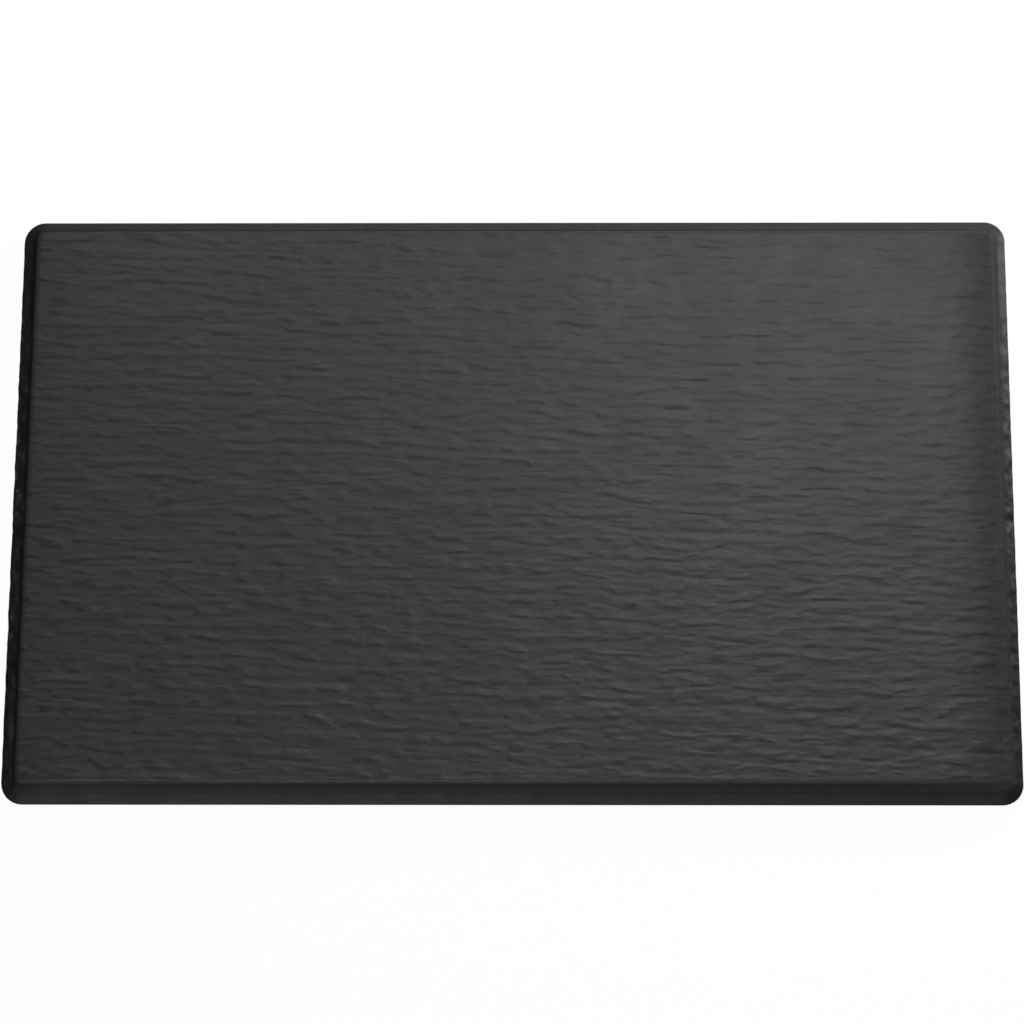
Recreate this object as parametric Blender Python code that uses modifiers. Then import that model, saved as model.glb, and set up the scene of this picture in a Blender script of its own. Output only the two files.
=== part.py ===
"""Slate-look melamine serving tray on push-in silicone feet.

Metres, +Z up. +X runs along the long side and +Y towards the back. The origin is at the
centre of the footprint, on the surface that the feet stand on.
"""

import math
import random

import bmesh
import bpy
from mathutils import Vector

# Overall sizes: the footprint is the full Gastronorm 1/1 size of the catering trade
LENGTH = 0.530
WIDTH = 0.325
HEIGHT = 0.013

# Corners in plan
RIM_CORNER_RADIUS = 0.011
FIELD_CORNER_RADIUS = 0.003
PANEL_CORNER_RADIUS = 0.003
CORNER_STEPS = 8

# Section through the edge, from the serving face outwards and down
WALL = 0.004
SHOULDER_RADIUS = 0.0028
SHOULDER_STEPS = 6
RISER_DRAFT = math.radians(8)
RISER_FILLET = 0.0012
RISER_FILLET_STEPS = 4
FLANGE_RUN = 0.0070
FLANGE_RISE = 0.0028
RIM_EDGE = 0.0008
RIM_CLEARANCE = 0.001
HOLLOW_SETBACK = 0.0025
PANEL_DRAFT = math.radians(15)
PANEL_FILLET = 0.003
PANEL_FILLET_STEPS = 5

# Hewn facets of the flange: deep chips along the short sides, shallow ones along the long sides
CHIP_PITCH = 0.008
CHIP_PITCH_SPREAD = 0.3
CHIP_LEVELS = 2
SHORT_SIDE_CHIP = 0.0013
LONG_SIDE_CHIP = 0.0005
CHIP_SEED = 11

# Feet, and the bosses under the plate that hold them
FOOT_MARGIN = 0.045
FOOT_CLEARANCE = 0.0003
PAD_RADIUS = 0.0075
PAD_EDGE_RADIUS = 0.0008
PAD_EDGE_STEPS = 3
CUP_RADIUS = 0.0045
CUP_LIP = 0.0008
CUP_DEPTH = 0.0006
STEM_RADIUS = 0.004
STEM_CORE_RADIUS = 0.0032
STEM_LIPS = 3
LIP_RISE_SHARE = 0.75
SOCKET_DEPTH = 0.005
SEAT_DEPTH = 0.0012
BOSS_SETBACK = 0.0012
BOSS_WALL = 0.0024
BOSS_DRAFT = math.radians(4)
BOSS_ROOT_OVERLAP = 0.0015
ROUND_STEPS = 32
CUTTER_OVERRUN = 0.002

# Heights and widths that follow from the sizes above
RISER_SLOPE = math.radians(90) - RISER_DRAFT
FLANGE_SLOPE = math.atan2(FLANGE_RISE, FLANGE_RUN)
PANEL_SLOPE = math.radians(90) - PANEL_DRAFT
PANEL_Z = HEIGHT - WALL
FLANGE_FOOT_Z = RIM_CLEARANCE + RIM_EDGE
FLANGE_TOP_Z = FLANGE_FOOT_Z + FLANGE_RISE
SHOULDER_FOOT_Z = HEIGHT - SHOULDER_RADIUS * (1 - math.cos(RISER_SLOPE))
RISER_RUN = (SHOULDER_FOOT_Z - FLANGE_TOP_Z) / math.tan(RISER_SLOPE)
FIELD_INSET = FLANGE_RUN + RISER_RUN + SHOULDER_RADIUS * math.sin(RISER_SLOPE)
RIM_LAND = FLANGE_RUN + HOLLOW_SETBACK
BOSS_FACE_Z = RIM_CLEARANCE + BOSS_SETBACK
SEAT_Z = BOSS_FACE_Z + SEAT_DEPTH
SEAT_RADIUS = PAD_RADIUS + FOOT_CLEARANCE
SOCKET_TOP = SEAT_Z + SOCKET_DEPTH
SOCKET_RADIUS = STEM_RADIUS + FOOT_CLEARANCE
BOSS_RADIUS = SEAT_RADIUS + BOSS_WALL

SHARP_ANGLE = math.radians(12)


def clear_scene():
    for old in list(bpy.data.objects):
        bpy.data.objects.remove(old, do_unlink=True)


def new_collection(name):
    collection = bpy.data.collections.new(name)
    bpy.context.scene.collection.children.link(collection)
    return collection


def new_material(name, colour, roughness):
    material = bpy.data.materials.new(name)
    material.use_nodes = True
    shader = material.node_tree.nodes["Principled BSDF"]
    shader.inputs["Base Color"].default_value = (*colour, 1.0)
    shader.inputs["Roughness"].default_value = roughness
    shader.inputs["Metallic"].default_value = 0.0
    material.diffuse_color = (*colour, 1.0)
    return material


def new_object(name, shape, collection, material=None):
    """An object of the bmesh `shape`, shaded smooth with its hard edges kept."""
    mesh = bpy.data.meshes.new(name)
    shape.to_mesh(mesh)
    shape.free()
    mesh.shade_smooth()
    mesh.set_sharp_from_angle(angle=SHARP_ANGLE)
    if material:
        mesh.materials.append(material)
    made = bpy.data.objects.new(name, mesh)
    collection.objects.link(made)
    return made


def hide_as_cutter(cutter):
    cutter.hide_render = True
    cutter.display_type = "WIRE"


def between(start, end, share):
    return start + (end - start) * share


def shoulder_section():
    """(inset from the rim's outline, height) down the round from the serving face to the riser."""
    section = []
    for step in range(SHOULDER_STEPS + 1):
        angle = RISER_SLOPE * step / SHOULDER_STEPS
        inset = FIELD_INSET - SHOULDER_RADIUS * math.sin(angle)
        section.append((inset, HEIGHT - SHOULDER_RADIUS * (1 - math.cos(angle))))
    return section


def fillet_section():
    """The same round the hollow between the riser and the flange."""
    tangent = RISER_FILLET * math.tan((RISER_SLOPE - FLANGE_SLOPE) / 2)
    start_inset = FLANGE_RUN + tangent * math.cos(RISER_SLOPE)
    start_z = FLANGE_TOP_Z + tangent * math.sin(RISER_SLOPE)
    section = []
    for step in range(RISER_FILLET_STEPS + 1):
        angle = between(RISER_SLOPE, FLANGE_SLOPE, step / RISER_FILLET_STEPS)
        inset = start_inset - RISER_FILLET * (math.sin(RISER_SLOPE) - math.sin(angle))
        section.append((inset, start_z - RISER_FILLET * (math.cos(angle) - math.cos(RISER_SLOPE))))
    return section


def flange_section():
    """The same out along the flange, between the fillet and the rim."""
    inset, height = fillet_section()[-1]
    shares = [level / (CHIP_LEVELS + 1) for level in range(1, CHIP_LEVELS + 1)]
    return [(between(inset, 0.0, share), between(height, FLANGE_FOOT_Z, share)) for share in shares]


def inner_section():
    """The same from under the rim up the side of the hollow and round into the panel."""
    run = (PANEL_Z - RIM_CLEARANCE) / math.tan(PANEL_SLOPE)
    tangent = PANEL_FILLET * math.tan(PANEL_SLOPE / 2)
    arc_inset = RIM_LAND + run + tangent
    section = [(RIM_LAND, RIM_CLEARANCE)]
    for step in range(PANEL_FILLET_STEPS + 1):
        angle = PANEL_SLOPE * (1 - step / PANEL_FILLET_STEPS)
        inset = arc_inset - PANEL_FILLET * math.sin(angle)
        section.append((inset, PANEL_Z - PANEL_FILLET * (1 - math.cos(angle))))
    return section


def outer_radius(inset):
    return between(RIM_CORNER_RADIUS, FIELD_CORNER_RADIUS, inset / FIELD_INSET)


def corner_stations(quarter):
    """(quarter, turn within it, share of the side that follows, chip depth) round one corner."""
    return [(quarter, step / CORNER_STEPS, 0.0, LONG_SIDE_CHIP) for step in range(CORNER_STEPS + 1)]


def plain_stations():
    return [station for quarter in range(4) for station in corner_stations(quarter)]


def chipped_stations(chips):
    """The stations of all corners, and of the chips along the side that follows each of them."""
    stations = []
    for quarter in range(4):
        stations += corner_stations(quarter)
        side, depth = ((LENGTH, LONG_SIDE_CHIP), (WIDTH, SHORT_SIDE_CHIP))[quarter % 2]
        count = round((side - 2 * RIM_CORNER_RADIUS) / CHIP_PITCH)
        for place in range(1, count):
            share = (place + chips.uniform(-CHIP_PITCH_SPREAD, CHIP_PITCH_SPREAD)) / count
            stations.append((quarter, 1.0, share, depth))
    return stations


def add_loop(shape, stations, inset, height, radius, chips=None):
    """The edges of one level line round the tray, chipped inwards if `chips` is given."""
    middle_x = LENGTH / 2 - inset - radius
    middle_y = WIDTH / 2 - inset - radius
    centres = [Vector((x * middle_x, y * middle_y)) for x, y in ((1, 1), (-1, 1), (-1, -1), (1, -1))]
    points = []
    for quarter, turn, share, depth in stations:
        angle = math.radians(90) * (quarter + turn)
        out = Vector((math.cos(angle), math.sin(angle)))
        reach = radius - (chips.uniform(0.0, depth) if chips else 0.0)
        place = centres[quarter].lerp(centres[(quarter + 1) % 4], share) + out * reach
        points.append(shape.verts.new((*place, height)))
    return [shape.edges.new(pair) for pair in zip(points, points[1:] + points[:1])]


def make_shell():
    """The moulded shell, lofted from its serving face over the edge to the panel underneath."""
    shape = bmesh.new()
    chips = random.Random(CHIP_SEED)
    stations = chipped_stations(chips)
    rim_section = [(0.0, FLANGE_FOOT_Z), (0.0, RIM_CLEARANCE)]
    outer = []
    for section, chipping in (
        (shoulder_section(), None),
        (fillet_section(), None),
        (flange_section(), chips),
        (rim_section, None),
    ):
        for inset, height in section:
            outer.append(add_loop(shape, stations, inset, height, outer_radius(inset), chipping))
    inner = [
        add_loop(shape, plain_stations(), inset, height, PANEL_CORNER_RADIUS)
        for inset, height in inner_section()
    ]
    for loops in (outer, inner):
        for upper, lower in zip(loops, loops[1:]):
            bmesh.ops.bridge_loops(shape, edges=upper + lower)
    bmesh.ops.triangle_fill(shape, edges=outer[-1] + inner[0], use_beauty=True)
    for end in (outer[0], inner[-1]):
        bmesh.ops.contextual_create(shape, geom=end)
    bmesh.ops.recalc_face_normals(shape, faces=shape.faces)
    return shape


def foot_places():
    """Name and place of each foot's axis: a row of three along each long side."""
    for row, side_y in (("front", -1), ("back", 1)):
        for column, side_x in (("left", -1), ("middle", 0), ("right", 1)):
            x = side_x * (LENGTH / 2 - FOOT_MARGIN)
            y = side_y * (WIDTH / 2 - FOOT_MARGIN)
            yield f"{row}_{column}", (x, y, 0.0)


def make_boss():
    """A drafted round boss from its face up into the plate."""
    depth = PANEL_Z + BOSS_ROOT_OVERLAP - BOSS_FACE_Z
    shape = bmesh.new()
    bmesh.ops.create_cone(
        shape,
        cap_ends=True,
        segments=ROUND_STEPS,
        radius1=BOSS_RADIUS,
        radius2=BOSS_RADIUS + depth * math.tan(BOSS_DRAFT),
        depth=depth,
    )
    bmesh.ops.translate(shape, verts=shape.verts, vec=(0.0, 0.0, BOSS_FACE_Z + depth / 2))
    return shape


def make_profile(points):
    """An open line of (radius, height) points in the XZ plane, for turning about Z."""
    shape = bmesh.new()
    corners = [shape.verts.new((radius, 0.0, height)) for radius, height in points]
    for pair in zip(corners, corners[1:]):
        shape.edges.new(pair)
    return shape


def turn(profile):
    screw = profile.modifiers.new("turned", "SCREW")
    screw.axis = "Z"
    screw.steps = ROUND_STEPS
    screw.render_steps = ROUND_STEPS
    screw.use_merge_vertices = True
    screw.merge_threshold = 0.00001


def socket_profile():
    """The blind hole for the stem, opening into the seat for the pad."""
    mouth = BOSS_FACE_Z - CUTTER_OVERRUN
    return [
        (0.0, SOCKET_TOP),
        (SOCKET_RADIUS, SOCKET_TOP),
        (SOCKET_RADIUS, SEAT_Z),
        (SEAT_RADIUS, SEAT_Z),
        (SEAT_RADIUS, mouth),
        (0.0, mouth),
    ]


def foot_profile():
    """A lipped stem above a round pad with a shallow cup in its underside."""
    stem_top = SOCKET_TOP - FOOT_CLEARANCE
    pad_top = SEAT_Z - FOOT_CLEARANCE
    pitch = (stem_top - pad_top) / STEM_LIPS
    points = [(0.0, stem_top)]
    for lip in range(STEM_LIPS):
        lip_top = stem_top - lip * pitch
        points.append((STEM_CORE_RADIUS, lip_top))
        points.append((STEM_RADIUS, lip_top - LIP_RISE_SHARE * pitch))
    points.append((STEM_CORE_RADIUS, pad_top))
    points.append((PAD_RADIUS, pad_top))
    for step in range(PAD_EDGE_STEPS + 1):
        angle = math.radians(90) * step / PAD_EDGE_STEPS
        radius = PAD_RADIUS - PAD_EDGE_RADIUS * (1 - math.cos(angle))
        points.append((radius, PAD_EDGE_RADIUS * (1 - math.sin(angle))))
    points += [(CUP_RADIUS, 0.0), (CUP_RADIUS - CUP_LIP, CUP_DEPTH), (0.0, CUP_DEPTH)]
    return points


def add_boolean(target, operands, operation):
    cut = target.modifiers.new(operands.name, "BOOLEAN")
    cut.operation = operation
    cut.operand_type = "COLLECTION"
    cut.collection = operands
    cut.solver = "EXACT"


def main():
    clear_scene()
    parts = new_collection("slate_tray")
    bosses = new_collection("foot_bosses")
    sockets = new_collection("foot_sockets")
    melamine = new_material("black_melamine", (0.050, 0.050, 0.048), 0.55)
    silicone = new_material("black_silicone", (0.030, 0.030, 0.030), 0.70)

    origin = bpy.data.objects.new("tray_origin", None)
    parts.objects.link(origin)
    body = new_object("tray_body", make_shell(), parts, melamine)
    body.parent = origin

    for name, place in foot_places():
        boss = new_object(f"boss_{name}", make_boss(), bosses)
        socket = new_object(f"socket_{name}", make_profile(socket_profile()), sockets)
        foot = new_object(f"foot_{name}", make_profile(foot_profile()), parts, silicone)
        turn(socket)
        turn(foot)
        for made in (boss, socket, foot):
            made.parent = origin
            made.location = place
        hide_as_cutter(boss)
        hide_as_cutter(socket)

    add_boolean(body, bosses, "UNION")
    add_boolean(body, sockets, "DIFFERENCE")
    even_shading = body.modifiers.new("even_shading", "WEIGHTED_NORMAL")
    even_shading.keep_sharp = True


if __name__ == "__main__":
    main()
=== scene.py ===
"""A slate-look melamine serving tray on push-in feet, laid out as an add-on and run as a script."""

import math
from collections import namedtuple

import bmesh
import bpy
import numpy as np
from bpy.props import FloatProperty, FloatVectorProperty, IntProperty, PointerProperty
from mathutils import Matrix, Vector


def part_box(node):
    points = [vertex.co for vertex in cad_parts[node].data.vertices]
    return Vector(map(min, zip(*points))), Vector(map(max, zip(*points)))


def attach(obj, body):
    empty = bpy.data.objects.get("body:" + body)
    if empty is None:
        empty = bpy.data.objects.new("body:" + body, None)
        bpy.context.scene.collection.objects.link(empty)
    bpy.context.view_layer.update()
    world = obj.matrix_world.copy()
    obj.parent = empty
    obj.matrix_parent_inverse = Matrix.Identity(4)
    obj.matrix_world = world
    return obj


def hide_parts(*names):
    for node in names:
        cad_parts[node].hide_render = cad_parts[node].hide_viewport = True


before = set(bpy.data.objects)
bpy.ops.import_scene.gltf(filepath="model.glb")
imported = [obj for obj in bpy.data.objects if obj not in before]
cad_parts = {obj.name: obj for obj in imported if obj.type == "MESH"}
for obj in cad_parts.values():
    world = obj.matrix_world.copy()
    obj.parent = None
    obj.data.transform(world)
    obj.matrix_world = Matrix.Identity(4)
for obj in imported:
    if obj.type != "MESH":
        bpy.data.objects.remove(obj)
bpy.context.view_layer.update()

bl_info = {
    "name": "Slate Tray",
    "version": (1, 0, 0),
    "blender": (4, 5, 0),
    "location": "View3D > Sidebar > Slate Tray",
    "description": "Models a hollow slate-look serving tray, its feet and a plain studio",
    "category": "Add Mesh",
}

BODY = "root"
SHELL_NODE = "tray_body"
FOOT_NODES = tuple(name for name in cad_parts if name.startswith("foot_"))
SHELL_LOW, SHELL_HIGH = (Vector(corner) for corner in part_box(SHELL_NODE))
FOOT_LOW, FOOT_HIGH = (Vector(corner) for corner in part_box(FOOT_NODES[0]))
SHELL_SIZE = SHELL_HIGH - SHELL_LOW


def setting_of(kind, **options):
    """Gives the function that makes settings of one kind from a name, a description and a default."""

    def setting(name, description, default):
        return kind(name=name, description=description, default=default, **options)

    return setting


in_metres = setting_of(FloatProperty, min=0.0, precision=5, subtype="DISTANCE", unit="LENGTH")
in_watts = setting_of(FloatProperty, min=0.0, subtype="POWER", unit="POWER")
in_radians = setting_of(FloatProperty, subtype="ANGLE", unit="ROTATION")
as_share = setting_of(FloatProperty, min=0.0, max=1.0, subtype="FACTOR")
as_place = setting_of(FloatVectorProperty, size=3, subtype="TRANSLATION", unit="LENGTH")
as_colour = setting_of(FloatVectorProperty, size=3, min=0.0, max=1.0, subtype="COLOR")


class ShellSettings(bpy.types.PropertyGroup):
    """Sizes and colours of the moulded shell."""

    length: in_metres("Length", "Long side of the rim", SHELL_SIZE.x)
    width: in_metres("Width", "Short side of the rim", SHELL_SIZE.y)
    top: in_metres("Top", "Height of the serving face", SHELL_HIGH.z)
    rim_foot: in_metres("Rim foot", "Height of the rim's underside", SHELL_LOW.z)
    rim_corner: in_metres("Rim corner", "Corner radius of the rim", 0.011)
    rim_edge: in_metres("Rim edge", "Height of the blunt rim edge", 0.0008)
    rim_land: in_metres("Rim land", "Width of the rim's underside", 0.0095)
    rim_break: in_metres("Rim break", "Broken edge at the foot of the rim", 0.0002)
    flange_run: in_metres("Flange run", "Width of the flange round the plateau", 0.0070)
    end_flange_run: in_metres("End flange run", "Width of the flange at the short sides", 0.0050)
    left_widening: in_metres("Left widening", "How much wider the flange is at the left end", 0.0010)
    flange_rise: in_metres("Flange rise", "How far the flange rises to the plateau", 0.0028)
    riser_draft: in_radians("Riser draft", "Draft of the plateau's sides", math.radians(8.0))
    riser_fillet: in_metres("Riser fillet", "Radius between flange and plateau", 0.0012)
    shoulder: in_metres("Shoulder", "Radius of the rounded shoulder", 0.0028)
    field_corner: in_metres("Field corner", "Corner radius of the serving face", 0.003)
    wall: in_metres("Wall", "Thickness of the plate", 0.004)
    panel_corner: in_metres("Panel corner", "Corner radius of the hollow", 0.003)
    panel_draft: in_radians("Panel draft", "Draft of the hollow's sides", math.radians(15.0))
    panel_fillet: in_metres("Panel fillet", "Radius between the hollow's sides and its roof", 0.003)
    boss_radius: in_metres("Boss radius", "Radius of a boss's face", 0.0102)
    boss_face: in_metres("Boss face", "Height of the bosses' faces", 0.0022)
    boss_draft: in_radians("Boss draft", "Draft of the bosses' sides", math.radians(4.0))
    boss_fillet: in_metres("Boss fillet", "Radius at the root of a boss", 0.001)
    boss_break: in_metres("Boss break", "Broken edge round a boss's face", 0.0003)
    seat_radius: in_metres("Seat radius", "Radius of the recess that takes a foot's pad", 0.0078)
    seat_roof: in_metres("Seat roof", "Height of that recess's roof", 0.0034)
    socket_radius: in_metres("Socket radius", "Radius of the hole for a foot's stem", 0.0043)
    socket_roof: in_metres("Socket roof", "Height of that hole's end", 0.0084)
    left_fall: in_metres("Left fall", "How far the face falls at the left end", 0.0008)
    right_fall: in_metres("Right fall", "How far the face falls at the right end", 0.0019)
    end_fall_run: in_metres("End fall run", "How far in from the short sides the fall starts", 0.048)
    flake: in_metres("Flake", "Height of the tallest flakes of the face", 0.00017)
    left_chip: in_metres("Left side chip", "Depth of the hewn chips of the left side", 0.0029)
    right_chip: as_share("Right side chip", "Depth of the right side's chips, as a share", 0.38)
    long_chip: as_share("Long side chip", "Depth of the long sides' chips, as a share", 0.075)
    rim_chip: as_share("Rim chip", "Depth of the chips at the rim's edge, as a share", 0.25)
    face_dark: as_colour("Face dark", "Slate face, in its hollows", (0.0357, 0.0357, 0.0321))
    face_light: as_colour("Face light", "Slate face, on its ridges", (0.0473, 0.0473, 0.0426))
    # Painted shade: the flakes' steps are coloured darker than the rest of the face.
    face_step: as_colour("Face step", "Slate face, on its steps", (0.029, 0.029, 0.0261))
    # Painted shade: the hewn edge's colours are far darker than the face's, standing in for the shade on the
    # tray's sides; between them they vary by a random tone.
    edge_dark: as_colour("Edge dark", "Hewn edge, in its hollows", (0.0075, 0.0075, 0.007))
    edge_light: as_colour("Edge light", "Hewn edge, on its ridges", (0.0120, 0.0120, 0.0112))
    # Painted shade: the crease above the flange is coloured darker than the face.
    crease_shade_colour: as_colour("Crease", "Dusty crease above the flange", (0.018, 0.018, 0.0168))
    # Painted highlight: the crease is coloured lighter at the right end.
    crease_highlight_colour: as_colour("Pale crease", "Crease rubbed pale at the right end", (0.030, 0.030, 0.028))
    under_colour: as_colour("Underside", "Plain moulded underside", (0.030, 0.030, 0.029))


class FootSettings(bpy.types.PropertyGroup):
    """Sizes and colour of the push-in feet."""

    pad_radius: in_metres("Pad radius", "Radius of the pad", (FOOT_HIGH.x - FOOT_LOW.x) / 2.0)
    pad_top: in_metres("Pad top", "Height of the pad", 0.0031)
    pad_round: in_metres("Pad round", "Rounding of the pad's lower edge", 0.0008)
    pad_break: in_metres("Pad break", "Broken edges of the pad's top", 0.0002)
    stem_top: in_metres("Stem top", "Height of the stem's end", FOOT_HIGH.z)
    stem_radius: in_metres("Stem radius", "Radius over the stem's lips", 0.004)
    core_radius: in_metres("Core radius", "Radius between the stem's lips", 0.0032)
    lips: IntProperty(name="Lips", description="Number of lips on the stem", default=3, min=1)
    cup_radius: in_metres("Cup radius", "Radius of the cup in the sole", 0.0045)
    cup_depth: in_metres("Cup depth", "Depth of the cup in the sole", 0.0006)
    groove_depth: in_metres("Groove depth", "Depth of the sole's grip grooves", 0.00022)
    colour: as_colour("Colour", "Silicone of the feet", (0.022, 0.022, 0.022))


class StageSettings(bpy.types.PropertyGroup):
    """Camera, lamps and floor."""

    azimuth: in_radians("Azimuth", "Turn of the camera about the tray", math.radians(2.496))
    elevation: in_radians("Elevation", "Height of the camera above the horizon", math.radians(71.495))
    roll: in_radians("Roll", "Tilt of the picture", math.radians(-2.371))
    distance: in_metres("Distance", "Distance of the camera from its aim", 2.2453)
    aim: as_place("Aim", "Point that the camera looks at", (-0.00036, -0.00256, 0.0014))
    lens: FloatProperty(name="Lens", description="Focal length", default=149.05, unit="CAMERA")
    right_sky_power: in_watts("Right sky power", "Overhead softbox behind, on the right", 7.2)
    left_sky_power: in_watts("Left sky power", "Overhead softbox behind, on the left", 3.3)
    top_power: in_watts("Top power", "Softbox straight above", 1.8)
    right_power: in_watts("Right power", "Small softbox at the right corner", 2.6)
    right_strip_power: in_watts("Right strip power", "Low strip at the right", 0.4)
    left_power: in_watts("Left power", "Weak softbox at the left", 0.08)
    front_power: in_watts("Front power", "Softbox above the camera's side", 7.2)
    front_strip_power: in_watts("Front strip power", "Low strip in front", 8.2)
    back_power: in_watts("Back power", "Wide softbox behind", 6.5)
    room: as_share("Room", "Level of the light from all round", 0.01)
    floor_colour: as_colour("Floor", "Pale floor", (0.80, 0.80, 0.80))
    left_bounce: as_share("Left bounce", "Light that the floor at the left throws back", 0.03)
    right_bounce: as_share("Right bounce", "Light that the floor at the right throws back", 0.8)


# Selecting and editing


def clear_selection():
    """Leaves edit mode and deselects everything."""
    if bpy.context.mode != "OBJECT":
        bpy.ops.object.mode_set(mode="OBJECT")
    bpy.ops.object.select_all(action="DESELECT")


def edited():
    """The mesh that is being edited."""
    return bmesh.from_edit_mesh(bpy.context.edit_object.data)


def show_edit():
    """Passes moves made in code on to the mesh that is being edited."""
    bmesh.update_edit_mesh(bpy.context.edit_object.data)


def select_open_edges():
    """Selects the edges that bound the surface and the loose ones."""
    bpy.ops.mesh.select_all(action="DESELECT")
    for edge in edited().edges:
        if len(edge.link_faces) < 2:
            edge.select_set(True)
    show_edit()


def extrude_loops(place):
    """Extrudes the selected loops of edges and puts each new point where place says."""
    bpy.ops.mesh.extrude_edges_indiv()
    for point in edited().verts:
        if point.select:
            point.co = place(point.co)
    show_edit()


def leave_closed_mesh():
    """Points all faces of the edited mesh outwards and leaves edit mode."""
    bpy.ops.mesh.select_all(action="SELECT")
    bpy.ops.mesh.normals_make_consistent(inside=False)
    bpy.ops.object.mode_set(mode="OBJECT")


def finish_piece(piece, nodes, smooth_angle):
    """Shades a finished piece and ties it to the frame."""
    clear_selection()
    piece.select_set(True)
    bpy.context.view_layer.objects.active = piece
    bpy.ops.object.shade_smooth_by_angle(angle=smooth_angle)
    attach(piece, BODY)
    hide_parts(*nodes)


# The shell's section

# One loop of the shell: how far it lies inside the long and the short sides, its height and corner radius
Level = namedtuple("Level", "inset end_inset height radius")


def shoulder_foot(shell):
    """Height at which the plateau's side passes into the rounded shoulder."""
    return shell.top - shell.shoulder * (1.0 - math.sin(shell.riser_draft))


def flange_foot(shell):
    """Height of the flange at the rim."""
    return shell.rim_foot + shell.rim_edge


def flange_top(shell):
    """Height at which the flange meets the plateau's side."""
    return flange_foot(shell) + shell.flange_rise


def shoulder_inset(shell):
    """How far the shoulder's foot lies inside the long sides."""
    return shell.flange_run + (shoulder_foot(shell) - flange_top(shell)) * math.tan(shell.riser_draft)


def field_inset(shell):
    """How far the serving face lies inside the outline."""
    return shoulder_inset(shell) + shell.shoulder * math.cos(shell.riser_draft)


def edge_insets(shell, flange_run):
    """Insets of the rim, the flange's top, the shoulder's foot and the face, for a width of the flange."""
    shift = shell.flange_run - flange_run
    return 0.0, flange_run, shoulder_inset(shell) - shift, field_inset(shell)


def between(first, last, steps):
    """Evenly spaced places from one to the other, without the first."""
    return [tuple(Vector(first).lerp(Vector(last), step / steps)) for step in range(1, steps + 1)]


def arc(centre, radius, first, last, steps):
    """Places on a round stretch of a section, by angles from straight above its centre."""
    angles = [first + (last - first) * step / steps for step in range(steps + 1)]
    return [(centre[0] - radius * math.sin(angle), centre[1] + radius * math.cos(angle)) for angle in angles]


def outer_levels(shell, shoulder_steps=5, riser_steps=3, fillet_steps=3, flange_steps=7):
    """Loops from the edge of the face over the shoulder, down to the flange and out to the rim."""
    slope = math.atan2(shell.flange_rise, shell.flange_run)
    steep = math.pi / 2.0 - shell.riser_draft
    crown = (field_inset(shell), shell.top - shell.shoulder)
    places = arc(crown, shell.shoulder, 0.0, steep, shoulder_steps)
    fillet = shell.riser_fillet
    reach = fillet * math.tan((steep - slope) / 2.0)
    start = (shell.flange_run + reach * math.cos(steep), flange_top(shell) + reach * math.sin(steep))
    places += between(places[-1], start, riser_steps)
    hollow = (start[0] - fillet * math.sin(steep), start[1] + fillet * math.cos(steep))
    places += arc(hollow, -fillet, steep, slope, fillet_steps)[1:]
    places += between(places[-1], (0.0, flange_foot(shell)), flange_steps)
    places += [(0.0, shell.rim_foot + shell.rim_break), (shell.rim_break, shell.rim_foot)]
    end_insets = np.interp([inset for inset, _ in places], edge_insets(shell, shell.flange_run),
                           edge_insets(shell, shell.end_flange_run))
    tightening = (shell.rim_corner - shell.field_corner) / field_inset(shell)
    return [Level(inset, float(end_inset), height, shell.rim_corner - tightening * inset)
            for (inset, height), end_inset in zip(places, end_insets)]


def inner_levels(shell, fillet_steps=4):
    """Loops from the rim's underside up the sides of the hollow to its roof."""
    roof = shell.top - shell.wall
    slope = math.pi / 2.0 - shell.panel_draft
    meeting = shell.rim_land + (roof - shell.rim_foot) / math.tan(slope)
    roof_inset = meeting + shell.panel_fillet * math.tan(slope / 2.0)
    places = [(shell.rim_land, shell.rim_foot)]
    places += arc((roof_inset, roof - shell.panel_fillet), shell.panel_fillet, slope, 0.0, fillet_steps)
    return [Level(inset, inset, height, shell.panel_corner) for inset, height in places]


def boss_loops(shell, fillet_steps=3):
    """Radius and height of the loops of a boss, from its root to the end of its socket."""
    roof = shell.top - shell.wall
    root = shell.boss_radius + (roof - shell.boss_face) * math.tan(shell.boss_draft)
    centre = (root + shell.boss_fillet, roof - shell.boss_fillet)
    return arc(centre, shell.boss_fillet, 0.0, math.pi / 2.0, fillet_steps) + [
        (shell.boss_radius, shell.boss_face + shell.boss_break),
        (shell.boss_radius - shell.boss_break, shell.boss_face),
        (shell.seat_radius + shell.boss_break, shell.boss_face),
        (shell.seat_radius, shell.boss_face + shell.boss_break),
        (shell.seat_radius, shell.seat_roof),
        (shell.socket_radius, shell.seat_roof),
        (shell.socket_radius, shell.socket_roof),
    ]


# The shell's mesh

FACE_COLUMNS = 150
FACE_ROWS = 430
CORNER_CELLS = 5
BOSS_SIDES = 48


def grid_lines(half, corner, count):
    """Places of the grid's lines along one side: even, and finer inside the rounded corners."""
    middle = np.linspace(corner - half, half - corner, count - 2 * CORNER_CELLS + 1)
    end = np.linspace(half - corner, half, CORNER_CELLS + 1)[1:]
    return np.concatenate((-end[::-1], middle, end))


def over_corner(place, middle, corner):
    """How far a place reaches over the start of the corners, as a share of the corner."""
    return max((abs(place) - middle) / corner, 0.0)


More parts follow.
